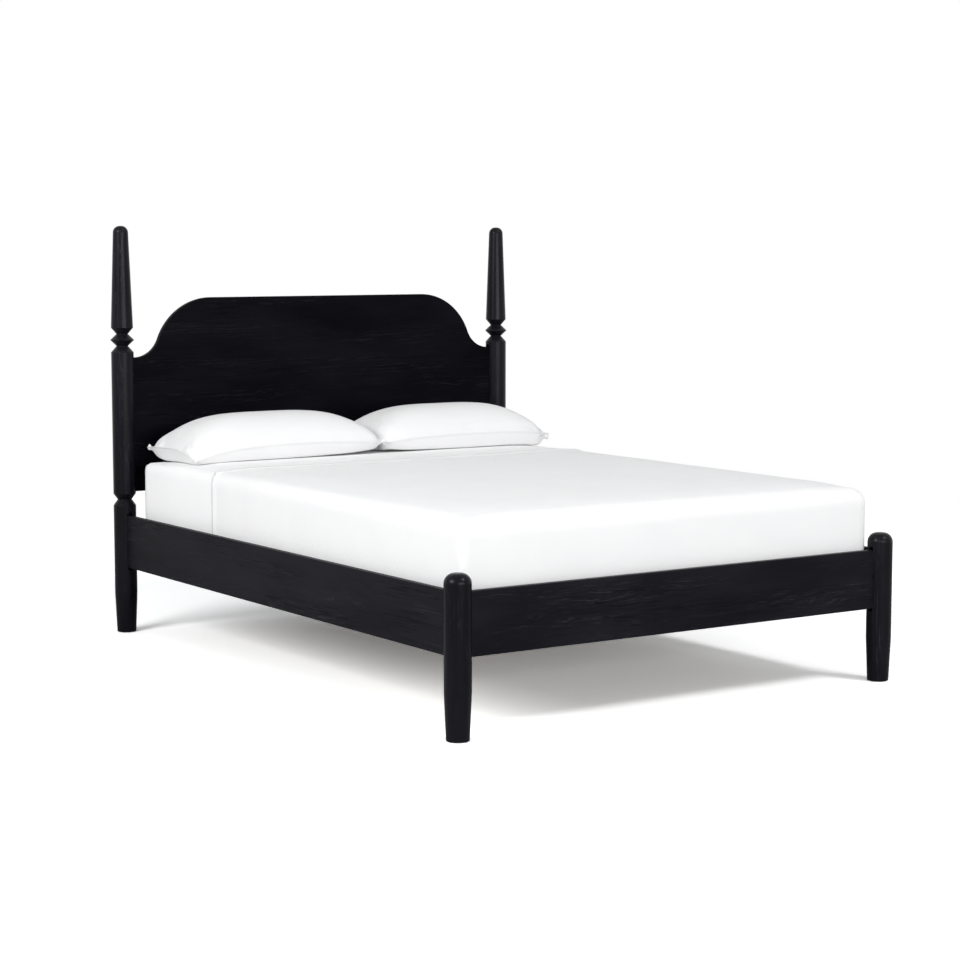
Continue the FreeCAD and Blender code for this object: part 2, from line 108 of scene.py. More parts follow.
# Mattress and sheets: rounded edges, squarer corners, and a top that falls a little towards its edges
head_round = 0.026
foot_round = 0.05
corner_power = 6
crown_drop = 0.014
crown_width = 0.2
mattress_inset = 0.002
mattress_cell = 0.025
cloth = 0.001
fitted_growth = 0.0009
fitted_hem = 0.12
top_growth = 0.0026
top_tuck = 0.16
hem_thickness = 0.004
hem_width = 0.014
hem_lift = 0.002
hem_corner_lift = 0.007
hem_corner_reach = 0.045
sheet_cell = 0.016
drape_height = 0.0008
drape_size = 0.22
drape_noise = (1.0, 2.0, 2)
top_edge_middle = 0.415
top_edge_rise = 0.07
top_edge_power = 4
top_edge_turn = 0.1
top_edge_side_drop = 0.028

# Corners of a quad, in steps of its grid
quad_corners = ((0, 0), (1, 0), (1, 1), (0, 1))

# Pillows: a crown over the seam, a flat seat under it, and where each pillow lies
pillow_front = 0.648
pillow_back = 1.04
pillow_ends = {"left": (-0.746, 0.044), "right": (0.004, 0.758)}
pillow_cell = 0.0075
pillow_draw = 0.016
pillow_seam_height = 0.056
pillow_crown = 0.102
pillow_belly = 0.04
crown_long_power = 3.7
crown_long_share = 0.75
crown_short_power = 3.0
crown_short_share = 0.72
belly_power = 10
seat_share = 1.9
seam_pull = 0.003
seam_pull_crown = 0.4
belly_bulge = 0.008
swell_power = 8
pillow_gap = 0.001
seam_cord = 0.001
cord_steps = 6

# Levels and pulls at the four corners of each pillow, in one order of corners
pillow_corners = ((-1, -1), (1, -1), (-1, 1), (1, 1))
seam_corners = {"left": (0.014, 0.04, 0.046, 0.044), "right": (0.034, 0.05, 0.044, 0.044)}
seat_corners = {"left": (0.000, 0.032, 0.032, 0.000), "right": (0.022, 0.008, 0.000, 0.016)}
corner_pulls = {"left": (0.03, 0.006, 0.014, 0.01), "right": (0.03, 0.006, 0.01, 0.008)}
seam_focus = 4
seat_focus = 5
corner_focus = 2
corner_fullness = 0.5
crease_height = 0.002
crease_start = 0.25
crease_count = 9

# Where the left pillow's end lies on the right pillow's
lap_start = pillow_ends["right"][0]
lap_end = pillow_ends["left"][1]
lap_low = 0.026
lap_crown = 0.046
lap_edge = 0.012
lap_limit = 2

# Cloth simulation that fills a pillow, with a cap on how far a point moves
fill_frames = 20
fill_cap = 0.014
fill_settings = {
    "quality": 6,
    "vertex_group_mass": "seam",
    "mass": 0.2,
    "tension_stiffness": 20,
    "compression_stiffness": 20,
    "shear_stiffness": 6,
    "bending_stiffness": 0.5,
    "shrink_min": -0.05,
    "use_pressure": True,
    "uniform_pressure_force": 5.0,
}

# Hardware
bolt_radius = 0.004
bolt_length = 0.08527
bolt_thread = 0.0006
bolt_pitch = 0.00125
bolt_play = 0.0004
bolt_hole = bolt_radius + bolt_play / 2
screw_radius = 0.0022
screw_head_radius = 0.0044
screw_head_height = 0.0026
screw_thread = 0.0006
screw_pitch = 0.0018
screw_tip = 0.005
recess_arm = 0.0026
recess_core = 0.0009
recess_depth = 0.0018
recess_taper = 0.6
thread_rows = 3
small_steps = 12
round_steps = 48
washer_radius = 0.008
washer_height = 0.0016
nut_half_width = 0.0065
nut_corner = 0.0075
nut_height = 0.0065
nut_chamfer = 0.0008
glide_radius = 0.014
glide_height = 0.004
glide_round = 0.0015
glide_arc_steps = 4
nail_radius = 0.0013
nail_point = 0.003
pad_round = 0.0025
pad_floor = 0.003
pad_arc_steps = 6
insert_thread = 0.0007
insert_play = 0.0001
leg_bore = 0.055
dowel_length = 0.07
dowel_radius = 0.005
dowel_flute = 0.0004
dowel_flutes = 12
dowel_chamfer = 0.0012
staple_half = 0.005
staple_wire = 0.0005
staple_leg = 0.008
staple_bend = 0.0008
screw_lengths = {
    "corner_plate_screws": 0.018,
    "ledger_screws": 0.038,
    "slat_screws": 0.036,
    "beam_hanger_screws": 0.018,
}

# Wood: how each piece lies in its log, and the waves of the log's rings
pith_ranges = ((-3, 3), (0.02, 0.05), (0.07, 0.13))
lean_range = (0.012, 0.035)
turn_range = (-0.02, 0.02)
log_axes = {"X": (0, 2, 1), "Y": (1, 2, 0), "Z": (2, 0, 1)}
sway_stretch = (2.2, 11, 11)
sway_detail = 5.0
ring_sway = (0, 0.045, 0.045)
ring_waves = {"Scale": 26.0, "Distortion": 2.2, "Detail": 5.0, "Detail Scale": 0.8}
ring_ramp = [(0.3, 0.0), (0.75, 1.0), (0.97, 0.2)]
wood_relief = 0.00035
shade_relief = -0.8
shade_roughness = 0.15

# Patterns in the wood: stretch along and across the log, detail, and the two ends of the ramp
wood_patterns = {
    "dashes": (9, 280, 6.0, (0.48, 0.0), (0.6, 1.0)),
    "bands": (1.3, 18, 4.0, (0.48, 0.0), (0.62, 1.0)),
    "streaks": (5, 220, 5.0, (0.5, 0.0), (0.66, 0.9)),
    "dark_bands": (1.3, 12, 3.0, (0.46, 0.1), (0.62, 1.0)),
    "clouds": (2.4, 9, 4.0, (0.35, 0.0), (0.66, 0.26)),
    "pores": (40, 900, 2.0, (0.6, 0.0), (0.68, 1.0)),
}

# Cotton: the wave texture's period at scale 1, thread widths, creases and slubs
wave_period = 0.314
sheet_weave = 0.0006
pillow_weave = 0.0005
cotton_creases = {"Scale": 5.0, "Detail": 4.0, "Distortion": 0.6}
crease_relief = 3.0
slub_stretch = (60, 900, 900)

# Light: a white studio, and lamps given by place, size and power
world_strength = 0.378
world_tint = (0.97, 0.985, 1.0)
floor_size = 9
floor_pale = 0.5
floor_shown = 1.6
floor_glow = 0.08
lamp_target = Vector((0, 0, 0.4))
lamps = {
    "lamp_right": ((2.9, -7.0, 8.7), (2.5, 2.5), 415),
    "lamp_left": ((-6.0, -1.2, 3.4), (3.0, 2.4), 302),
    "lamp_front": ((-1.0, -8.0, 1.7), (6.0, 1.8), 262),
}

# Camera, fitted to the photograph
camera_place = Vector((-4.187, -6.267, 1.3806))
camera_yaw = 0.589
camera_pitch = -0.10444
camera_lens = 85
camera_sensor = 36
camera_reach = 100


def sign(value):
    """Which side of the middle a value lies on."""
    return 1 if value > 0 else -1


def half_width(node):
    """Half the width of a CAD node along X."""
    low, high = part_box(node)
    return (high.x - low.x) / 2


def set_all(item, settings):
    """Gives an item its settings by name."""
    for name, value in settings.items():
        setattr(item, name, value)


def modified(obj, name, kind, **settings):
    """A modifier added to an object with its settings."""
    modifier = obj.modifiers.new(name, kind)
    set_all(modifier, settings)
    return modifier


def linked(name, data):
    """A new object in the scene."""
    obj = bpy.data.objects.new(name, data)
    scene.collection.objects.link(obj)
    return obj


def baked(name, bm):
    """A mesh made from a finished bmesh."""
    mesh = bpy.data.meshes.new(name)
    bm.to_mesh(mesh)
    bm.free()
    return mesh


# Sizes taken from the CAD frame
post_radius = half_width("foot_post_left")
post_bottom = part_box("foot_post_left")[0].z
post_foot = [(0, post_bottom, 0), (foot_radius, post_bottom, arris), (post_radius, foot_taper, soft_arris)]
rail_low, rail_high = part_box("side_rail_left")
board_thickness = rail_high.x - rail_low.x
panel_low, panel_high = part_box("headboard_panel")
slat_nodes = [node for node in frame["nodes"] if node.startswith("slat_") and node[-2:].isdigit()]
mattress_low, mattress_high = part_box("mattress")


def node_tree(owner):
    """Empties the nodes of a material or a world, and gives a function that adds one."""
    owner.use_nodes = True
    tree = owner.node_tree
    tree.nodes.clear()

    def add(kind, inputs=(), **settings):
        node = tree.nodes.new("ShaderNode" + kind)
        set_all(node, settings)
        for name, value in dict(inputs).items():
            if isinstance(value, bpy.types.NodeSocket):
                tree.links.new(value, node.inputs[name])
            else:
                node.inputs[name].default_value = value
        return node

    return add


def blank(name):
    """A new material and the function that adds nodes to it."""
    material = bpy.data.materials.new(name)
    return material, node_tree(material)


def object_place(add):
    """Where a point lies on its object."""
    return add("TexCoord").outputs["Object"]


def rgba(colour):
    """A colour with its alpha, from a grey or from red, green and blue."""
    return (*colour, 1) if hasattr(colour, "__len__") else (colour, colour, colour, 1)


def ramp(add, factor, stops):
    """A colour ramp with stops given as position and grey or colour."""
    node = add("ValToRGB", {"Fac": factor})
    elements = node.color_ramp.elements
    while len(elements) < len(stops):
        elements.new(0.5)
    for element, (position, colour) in zip(elements, stops):
        element.position = position
        element.color = rgba(colour)
    return node.outputs["Color"]


def surface(add, colour, roughness, height, distance, **sockets):
    """A principled surface with its bump, wired to the output."""
    bump = add("Bump", {"Height": height, "Distance": distance, "Strength": 1.0})
    inputs = {"Base Color": colour, "Roughness": roughness, "Normal": bump.outputs["Normal"]}
    shader = add("BsdfPrincipled", inputs)
    for name, value in sockets.items():
        shader.inputs[name.replace("_", " ")].default_value = value
    add("OutputMaterial", {"Surface": shader.outputs["BSDF"]})


def scaled(add, vector, scale):
    """A vector multiplied by a scale along each axis."""
    return add("VectorMath", {0: vector, 1: scale}, operation="MULTIPLY").outputs["Vector"]


def mixed(add, factor, a, b):
    """Two colours mixed by a factor."""
    return add("Mix", {0: factor, 6: a, 7: b}, data_type="RGBA").outputs[2]


def joined(add, operation, a, b):
    """Two values joined by a mathematical operation."""
    return add("Math", {0: a, 1: b}, operation=operation).outputs[0]


def summed(add, a, b, share):
    """One value plus a share of another."""
    return add("Math", {0: b, 1: share, 2: a}, operation="MULTIPLY_ADD").outputs[0]


def product(add, *values):
    """Several values multiplied together."""
    result = values[0]
    for value in values[1:]:
        result = joined(add, "MULTIPLY", result, value)
    return result


def stretched_noise(add, vector, stretch, detail, output="Fac"):
    """The value or the colour of a noise stretched along each axis."""
    inputs = {"Vector": scaled(add, vector, stretch), "Scale": 1.0, "Detail": detail}
    return add("TexNoise", inputs).outputs[output]


def waves(add, vector, scale, direction):
    """The value of even waves in one direction."""
    return add("TexWave", {"Vector": vector, "Scale": scale}, bands_direction=direction).outputs["Fac"]


def wood(name, early, late, dark, roughness, specular):
    """Open-grained wood, cut from a log whose axis is the X of the grain attribute."""
    material, add = blank(name)
    early, late, dark = rgba(early), rgba(late), rgba(dark)
    grain = add("Attribute", attribute_name="grain").outputs["Vector"]
    sway = stretched_noise(add, grain, sway_stretch, sway_detail, "Color")
    swayed = add("VectorMath", {0: sway, 1: ring_sway, 2: grain}, operation="MULTIPLY_ADD").outputs["Vector"]

    def pattern(kind, vector):
        along, across, detail, *stops = wood_patterns[kind]
        return ramp(add, stretched_noise(add, vector, (along, across, across), detail), stops)

    rings = add("TexWave", {"Vector": swayed, **ring_waves}, wave_type="RINGS", rings_direction="X")
    bands = pattern("bands", swayed)
    light = product(add, ramp(add, rings.outputs["Fac"], ring_ramp), pattern("dashes", swayed), bands)
    shade = product(add, pattern("streaks", swayed), pattern("dark_bands", grain))
    colour = mixed(add, pattern("clouds", grain), early, late)
    colour = mixed(add, shade, colour, dark)
    colour = mixed(add, light, colour, late)
    colour = mixed(add, product(add, pattern("pores", swayed), bands), colour, dark)
    rough = ramp(add, shade, [(0.0, roughness), (1.0, roughness + shade_roughness)])
    height = summed(add, light, shade, shade_relief)
    surface(add, colour, rough, height, wood_relief, Specular_IOR_Level=specular)
    return material


def cotton(name, colour, shade, thread_width):
    """Plain woven cotton: crossing sets of threads over soft creases, with painted shade in the creases'
    hollows.
    """
    material, add = blank(name)
    place = object_place(add)
    scale = wave_period / thread_width
    threads = waves(add, place, scale, "X")
    for direction in "YZ":
        threads = summed(add, threads, waves(add, place, scale, direction), 1.0)
    creases = add("TexNoise", {"Vector": place, **cotton_creases}).outputs["Fac"]
    slubs = stretched_noise(add, place, slub_stretch, 1.0)
    # Painted shade: the colour turns to the darker tone where the crease noise is low, which is where the
    # bump's creases sink
    tone = ramp(add, creases, [(0.3, shade), (0.65, colour)])
    # The slubs mix in the same darker tone, as the thread's own uneven colour
    tone = mixed(add, ramp(add, slubs, [(0.5, 0.0), (0.9, 0.25)]), tone, rgba(shade))
    height = summed(add, threads, creases, crease_relief)
    surface(add, tone, 0.85, height, 0.00012, Specular_IOR_Level=0.15, Sheen_Weight=0.15,
            Sheen_Roughness=0.5)
    return material


def ticking(name, colour, shade, scale):
    """Knitted mattress cover with quilted diamonds, with painted shade along the quilting."""
    material, add = blank(name)
    place = object_place(add)
    across = waves(add, place, scale, "DIAGONAL")
    back = waves(add, scaled(add, place, (-1, 1, 1)), scale, "DIAGONAL")
    quilt = joined(add, "MINIMUM", across, back)
    knit = add("TexVoronoi", {"Vector": place, "Scale": 420.0}).outputs["Distance"]
    # Painted shade: the colour turns to the much darker tone along the quilting lines, where the quilt's
    # bump sinks
    tone = ramp(add, quilt, [(0.02, shade), (0.15, colour)])
    height = summed(add, joined(add, "POWER", quilt, 0.35), knit, 0.03)
    surface(add, tone, 0.9, height, 0.004, Sheen_Weight=0.2, Specular_IOR_Level=0.15)
    return material


def zinc_steel():
    """Zinc-plated steel with faint drawn lines."""
    material, add = blank("zinc_steel")
    place = object_place(add)
    lines = stretched_noise(add, place, (30, 30, 1400), 3.0)
    spangle = add("TexVoronoi", {"Vector": place, "Scale": 180.0}).outputs["Distance"]
    tone = ramp(add, spangle, [(0.0, (0.5, 0.51, 0.53)), (0.8, (0.66, 0.67, 0.69))])
    surface(add, tone, ramp(add, lines, [(0.3, 0.26), (0.7, 0.42)]), lines, 0.00003, Metallic=1.0)
    return material


def moulded(name, colour, shade):
    """Matte moulded plastic with a fine texture."""
    material, add = blank(name)
    grit = add("TexNoise", {"Vector": object_place(add), "Scale": 900.0, "Detail": 2.0}).outputs["Fac"]
    surface(add, ramp(add, grit, [(0.35, shade), (0.65, colour)]), 0.55, grit, 0.00008)
    return material


def woven_webbing():
    """Ribbed webbing, its ribs across the strap, with painted shade between the ribs."""
    material, add = blank("webbing")
    place = object_place(add)
    weave = joined(add, "MAXIMUM", waves(add, place, 170.0, "Y"), waves(add, place, 260.0, "X"))
    # Painted shade: the colour is darkest where both sets of waves are low, in the grooves between the ribs,
    # where the bump sinks too
    tone = ramp(add, weave, [(0.2, (0.5, 0.49, 0.46)), (0.9, (0.78, 0.77, 0.73))])
    surface(add, tone, 0.9, weave, 0.0003, Sheen_Weight=0.1)
    return material


# Woods, from early wood, late wood and dark streaks, with roughness and gloss
oak = wood("stained_oak", (0.0044, 0.0041, 0.0066), (0.021, 0.0206, 0.0264), (0.001, 0.001, 0.0014),
           0.44, 0.06)
turned_oak = wood("turned_oak", (0.0028, 0.0026, 0.0046), (0.0208, 0.0203, 0.0265), (0.0006, 0.0006, 0.001),
                  0.25, 0.1)
# A darker copy of the same stained oak, for the headboard: its darker colour is painted shade, standing in
# for the shade that the headboard lies in behind the bedding
shaded_oak = wood("darker_oak", (0.0008, 0.0007, 0.0018), (0.012, 0.0115, 0.016), (0.0003, 0.0003, 0.0006),
                0.38, 0.035)
pine = wood("pale_wood", (0.52, 0.46, 0.39), (0.4, 0.33, 0.25), (0.3, 0.24, 0.18), 0.62, 0.35)

# Cloths and plastics, each with a colour and a darker tone. In the cottons the darker tone is painted shade
# in the creases and also the slubs' own tone; in the ticking it is painted shade along the quilting
sheet_cotton = cotton("sheet_cotton", (0.9, 0.9, 0.902), (0.88, 0.88, 0.885), sheet_weave)
# The fitted sheet is the same cotton set lighter: painted light, making up for the shade that the pillows
# cast on the strip of it that shows
fitted_cotton = cotton("fitted_cotton", (0.94, 0.94, 0.942), (0.92, 0.92, 0.925), sheet_weave)
# The pillows are the same cotton set darker: painted shade, holding back the lamps that fall full on their
# crowns
pillow_cotton = cotton("pillow_cotton", (0.81, 0.81, 0.812), (0.798, 0.798, 0.803), pillow_weave)
mattress_ticking = ticking("mattress_ticking", (0.84, 0.83, 0.81), (0.62, 0.61, 0.59), 3.2)
steel = zinc_steel()
glide_plastic = moulded("glide_plastic", (0.035, 0.028, 0.024), (0.022, 0.018, 0.016))
pad_plastic = moulded("pad_plastic", (0.02, 0.02, 0.021), (0.012, 0.012, 0.013))
webbing = woven_webbing()


def lay_grain(obj, axis):
    """Stores on each point where it lies in its log, which runs along an axis of the piece."""
    chance = random.Random(obj.name)
    pith = Vector([chance.uniform(*limits) for limits in pith_ranges])
    lean = Matrix.Rotation(chance.uniform(*lean_range), 3, "Y")
    turn = Matrix.Rotation(chance.uniform(*turn_range), 3, "Z")
    tilt = lean @ turn
    corners = [Vector(corner) for corner in obj.bound_box]
    middle = sum(corners, Vector()) / len(corners)
    values = []
    for vertex in obj.data.vertices:
        place = vertex.co - middle
        values.extend(tilt @ Vector([place[k] for k in log_axes[axis]]) + pith)
    attribute = obj.data.attributes.new("grain", "FLOAT_VECTOR", "POINT")
    attribute.data.foreach_set("vector", values)


def piece(name, bm, material, body, slot, replaced=()):
    """One finished piece from its mesh: linked, shaded, painted and riding on its body."""
    bmesh.ops.recalc_face_normals(bm, faces=bm.faces)
    mesh = baked(name, bm)
    mesh.materials.append(material)
    mesh.polygons.foreach_set("use_smooth", [True] * len(mesh.polygons))
    obj = linked(name, mesh)
    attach(obj, body)
    if replaced:
        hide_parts(*replaced)
    return obj


def weighted(obj):
    """Shading that keeps the large faces of an eased piece flat."""
    modified(obj, "flat_faces", "WEIGHTED_NORMAL", keep_sharp=True)


def applied(obj):
    """Makes the object's modifiers part of its mesh."""
    graph = bpy.context.evaluated_depsgraph_get()
    mesh = bpy.data.meshes.new_from_object(obj.evaluated_get(graph))
    obj.modifiers.clear()
    obj.data = mesh


def rounded_profile(corners, steps=arc_steps):
    """A profile through corners given as radius, height and rounding."""
    path = []
    for k, (radius, height, rounding) in enumerate(corners):
        here = Vector((radius, height))
        if rounding == 0:
            path.append(here)
            continue
        back = (Vector(corners[k - 1][:2]) - here).normalized()
        ahead = (Vector(corners[k + 1][:2]) - here).normalized()
        half = back.angle(ahead) / 2
        middle = here + (back + ahead).normalized() * (rounding / math.sin(half))
        reach = rounding / math.tan(half)
        start = here + back * reach - middle
        turn = start.angle_signed(here + ahead * reach - middle)
        for step in range(steps + 1):
            path.append(middle + Matrix.Rotation(-turn * step / steps, 2) @ start)
    return path


def lathe(profile, segments=round_steps, closed=False):
    """A mesh turned about Z from rows of radius and height, or of a function that gives both at an angle.

    A row on the axis becomes a pole, and a closed mesh joins its last row to its first.
    """
    bm = bmesh.new()
    turns = [2 * math.pi * k / segments for k in range(segments)]
    rings = []
    for row in profile:
        points = [row(turn) if callable(row) else row for turn in turns]
        if points[0][0] < weld_distance:
            rings.append([bm.verts.new((0, 0, points[0][1]))] * segments)
            continue
        rings.append([bm.verts.new((radius * math.cos(turn), radius * math.sin(turn), height))
                      for turn, (radius, height) in zip(turns, points)])
    for low, high in zip(rings, rings[1:] + rings[:1] if closed else rings[1:]):
        for k in range(segments):
            corners = dict.fromkeys([low[k - 1], low[k], high[k], high[k - 1]])
            bm.faces.new(list(corners))
    return bm


def moved(bm, place):
    """The mesh with its origin set at a place."""
    bm.transform(Matrix.Translation(place))
    return bm


def prism(outline, depth):
    """A closed mesh on an outline of XZ points, standing on Y 0 and reaching to the depth."""
    bm = bmesh.new()
    face = bm.faces.new([bm.verts.new((x, 0, z)) for x, z in outline])
    extruded = bmesh.ops.extrude_face_region(bm, geom=[face])
    far = [item for item in extruded["geom"] if isinstance(item, bmesh.types.BMVert)]
    bmesh.ops.translate(bm, vec=(0, depth, 0), verts=far)
    bmesh.ops.recalc_face_normals(bm, faces=bm.faces)
    return bm


def arc_points(middle, radius, start, end, steps):
    """Points along an arc in an upright plane, from one angle to another."""
    turns = [start + (end - start) * k / steps for k in range(steps + 1)]
    return [(middle.x + radius * math.cos(turn), middle.y + radius * math.sin(turn)) for turn in turns]


def slot_cutter(low, high, place, direction):
    """The space of a mortise with half-round ends, cut into a post from one side."""
    reach = board_thickness / 2 + mortise_play
    top = arc_points(Vector((0, high)), reach, 0, math.pi, mortise_steps)
    bottom = arc_points(Vector((0, low)), reach, math.pi, 2 * math.pi, mortise_steps)
    bm = prism(top + bottom, post_radius)
    turn = Matrix.Rotation(math.atan2(direction.y, direction.x) - math.pi / 2, 4, "Z")
    bm.transform(Matrix.Translation(Vector((*place, 0)) + direction * (post_radius - mortise_depth)) @ turn)
    return bm


def carve(obj, cutters):
    """Takes each cutter out of the object."""
    tools = []
    for k, bm in enumerate(cutters):
        tool = linked("cutter", baked("cutter", bm))
        modified(obj, "carve_%d" % k, "BOOLEAN", operation="DIFFERENCE", solver="EXACT", object=tool)
        tools.append(tool)
    applied(obj)
    for tool in tools:
        bpy.data.objects.remove(tool)


def turned_post(node, corners, end_rail, panel_slot):
    """A post turned from its profile, with its mortises cut."""
    low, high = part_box(node)
    x, y = (low.x + high.x) / 2, (low.y + high.y) / 2
    bm = moved(lathe(rounded_profile(corners), turning_steps), (x, y, 0))
    post = piece(node + "_turned", bm, turned_oak, "bed_frame", "stained_wood", [node])
    inward = Vector((-sign(x), 0, 0))
    cutters = [
        slot_cutter(rail_low.z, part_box(end_rail)[1].z, (x, y), inward),
        slot_cutter(rail_low.z, rail_high.z, (x, y), Vector((0, -sign(y), 0))),
    ]
    if panel_slot:
        cutters.append(slot_cutter(panel_low.z, headboard_side_top, (x, y), inward))
    carve(post, cutters)
    lay_grain(post, "Z")
    weighted(post)


def foot_post(node):
    """A short post with a domed top."""
    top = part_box(node)[1].z
    turned_post(node, post_foot + [(post_radius, top, foot_dome), (0, top, 0)], "foot_rail", False)


def head_post(node):
    """A tall post: V-groove, long shaft, sharp bead between two necks, tapered finial."""
    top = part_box(node)[1].z + finial_rise
    neck_low = shaft_top + neck_height
    neck_high = neck_low + bead_height
    corners = post_foot + [
        (post_radius, groove_middle - groove_height / 2, arris),
        (post_radius - groove_depth, groove_middle, arris),
        (post_radius, groove_middle + groove_height / 2, arris),
        (post_radius, shaft_top, arris),
        (neck_radius, neck_low, arris),
        (half_width(node) + arris / 2, neck_low + bead_height / 2, arris),
        (neck_radius, neck_high, arris),
        (finial_radius, neck_high + neck_height, arris),
        (finial_top_radius, top, finial_dome),
        (0, top, 0),
    ]
    turned_post(node, corners, "head_rail", True)


def eased(bm, edge):
    """The mesh with its sharp edges rounded."""
    sharp = [item for item in bm.edges if item.calc_face_angle(0) > sharp_angle]
    bmesh.ops.bevel(bm, geom=sharp, offset=edge, segments=ease_steps, profile=0.5, affect="EDGES",
                    clamp_overlap=True)
    return bm


def rail(node, axis):
    """A board along X or Y in the place of its CAD node, eased and with rounded ends."""
    low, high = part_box(node)
    start, end = low["XY".index(axis)], high["XY".index(axis)]
    outline = []
    quarter = math.pi / 2
    for k, (x, z) in enumerate([(end, high.z), (start, high.z), (start, low.z), (end, low.z)]):
        up = rail_end_round if k > 1 else -rail_end_round
        middle = Vector((x - math.copysign(rail_end_round, x), z + up))
        outline += arc_points(middle, rail_end_round, k * quarter, (k + 1) * quarter, corner_steps)
    bm = eased(prism(outline, board_thickness), board_edge)
    if axis == "X":
        moved(bm, (0, low.y, 0))
    else:
        bm.transform(Matrix.Translation((high.x, 0, 0)) @ Matrix.Rotation(quarter, 4, "Z"))
    made = piece(node + "_board", bm, oak, "bed_frame", "stained_wood", [node])
    lay_grain(made, axis)
    weighted(made)


def headboard():
    """The shaped panel with a convex and a hollow curve at each shoulder."""
    reach = shoulder_radius + hollow_radius
    shoulder = Vector((shoulder_start, panel_high.z - shoulder_radius))
    rise = headboard_side_top + hollow_radius - shoulder.y
    hollow = shoulder + Vector((math.sqrt(reach ** 2 - rise ** 2), rise))
    turn = math.atan2(rise, hollow.x - shoulder.x)
    right = arc_points(shoulder, shoulder_radius, math.pi / 2, turn, curve_steps)
    right += arc_points(hollow, hollow_radius, turn + math.pi, math.pi * 3 / 2, curve_steps)[1:]
    right += [(panel_high.x, headboard_side_top), (panel_high.x, panel_low.z)]
    left = [(-x, z) for x, z in reversed(right)]
    bm = moved(prism(right + left, panel_high.y - panel_low.y), (0, panel_low.y, 0))
    # The headboard takes the darker copy of the oak, whose darker colour is painted shade
    made = piece("headboard_shaped", eased(bm, board_edge), shaded_oak, "bed_frame", "stained_wood",
                 ["headboard_panel"])
    lay_grain(made, "X")
    weighted(made)


def carried(node, material, edge, axis=None):
    """Shows a CAD node itself, with its edges eased and its material."""
    obj = frame["nodes"][node]
    obj.data.materials.clear()
    obj.data.materials.append(material)
    if axis:
        lay_grain(obj, axis)
    modified(obj, "weld", "WELD", merge_threshold=weld_distance)
    modified(obj, "ease", "BEVEL", width=edge, segments=plain_ease_steps, limit_method="ANGLE",
             harden_normals=True)


def islands(node):
    """The middle of the box round each separate solid of a CAD node."""
    bm = bmesh.new()
    bm.from_mesh(frame["nodes"][node].data)
    bmesh.ops.remove_doubles(bm, verts=bm.verts, dist=weld_distance)
    left = set(bm.verts)
    middles = []
    while left:
        solid, waiting = [], [left.pop()]
        while waiting:
            vertex = waiting.pop()
            solid.append(vertex.co)
            near = {edge.other_vert(vertex) for edge in vertex.link_edges} & left
            left -= near
            waiting.extend(near)
        middles.append(Vector([(min(p[k] for p in solid) + max(p[k] for p in solid)) / 2 for k in range(3)]))
    bm.free()
    return middles


def repeated(node, name, item, length, direction, material, slot):
    """Copies of a small turned item, one in the place of each solid of a CAD node."""
    one = baked("item", item)
    bm = bmesh.new()
    for middle in islands(node):
        along = direction(middle)
        first = len(bm.verts)
        bm.from_mesh(one)
        bm.verts.ensure_lookup_table()
        turn = along.to_track_quat("Z", "Y").to_matrix().to_4x4()
        place = Matrix.Translation(middle - along * (length / 2)) @ turn
        bmesh.ops.transform(bm, matrix=place, verts=bm.verts[first:])
    bpy.data.meshes.remove(one)
    made = piece(name, bm, material, frame["nodes"][node]["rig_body"], slot, [node])
    weighted(made)
    return made


def outward(axis):
    """A function from a place to the way out of the bed along an axis."""
    return lambda middle: Vector([sign(middle[k]) if "XYZ"[k] == axis else 0 for k in range(3)])


def through_plate(middle):
    """Out of the bed through the leg of a corner plate, along X or Y."""
    return outward("X" if abs(middle.x) > abs(rail_high.x) else "Y")(middle)


def upright(rise):
    """A function from any place to straight up or straight down."""
    return lambda middle: Vector((0, 0, rise))


def to_middle(middle):
    """Level and along the diagonal of a corner, towards the inside of the bed."""
    return -Vector((sign(middle.x), sign(middle.y), 0)).normalized()


def thread(root, crest, pitch, start, end):
    """The rows of a screw thread between two heights."""
    def row(height):
        def at(turn):
            share = (height / pitch - turn / (2 * math.pi)) % 1
            return root + (crest - root) * (1 - abs(2 * share - 1)), height
        return at

    count = round((end - start) / pitch * thread_rows)
    return [row(start + (end - start) * k / count) for k in range(count + 1)]


def wood_screw(length):
    """A countersunk wood screw with a cross recess, its head at the start."""
    quarter = math.pi / 2

    def recess(share, height):
        def at(turn):
            in_arm = (turn + quarter / 4) % quarter < quarter / 2
            return share * (recess_arm if in_arm else recess_core), height
        return at

    head = [(0, recess_depth), recess(recess_taper, recess_depth), recess(1, 0),
            (screw_head_radius - steel_edge, 0), (screw_head_radius, steel_edge / 2),
            (screw_radius, screw_head_height)]
    worm = thread(screw_radius - screw_thread, screw_radius, screw_pitch, screw_head_height + steel_edge,
                  length - screw_tip)
    return lathe(head + worm + [(0, length)], small_steps)


def stud(length):
    """A threaded rod with chamfered ends."""
    root = bolt_radius - bolt_thread
    rows = thread(root, bolt_radius, bolt_pitch, bolt_thread, length - bolt_thread)
    return lathe([(0, 0), (root, 0)] + rows + [(root, length), (0, length)], small_steps)


def washer():
    """A flat washer."""
    hole = bolt_radius + bolt_play
    flat = washer_radius - steel_edge
    rows = [(hole, 0), (flat, 0), (washer_radius, steel_edge), (washer_radius, washer_height - steel_edge),
            (flat, washer_height), (hole, washer_height)]
    return lathe(rows, closed=True)


def nut():
    """A chamfered hexagon nut."""
    sixth = math.pi / 3

    def six_sided(radius, height):
        return lambda turn: (min(radius, nut_half_width / math.cos(turn % sixth - sixth / 2)), height)

    rows = [(bolt_hole, 0), six_sided(nut_half_width, 0), six_sided(nut_corner, nut_chamfer),
            six_sided(nut_corner, nut_height - nut_chamfer), six_sided(nut_half_width, nut_height),
            (bolt_hole, nut_height)]
    return lathe(rows, closed=True)


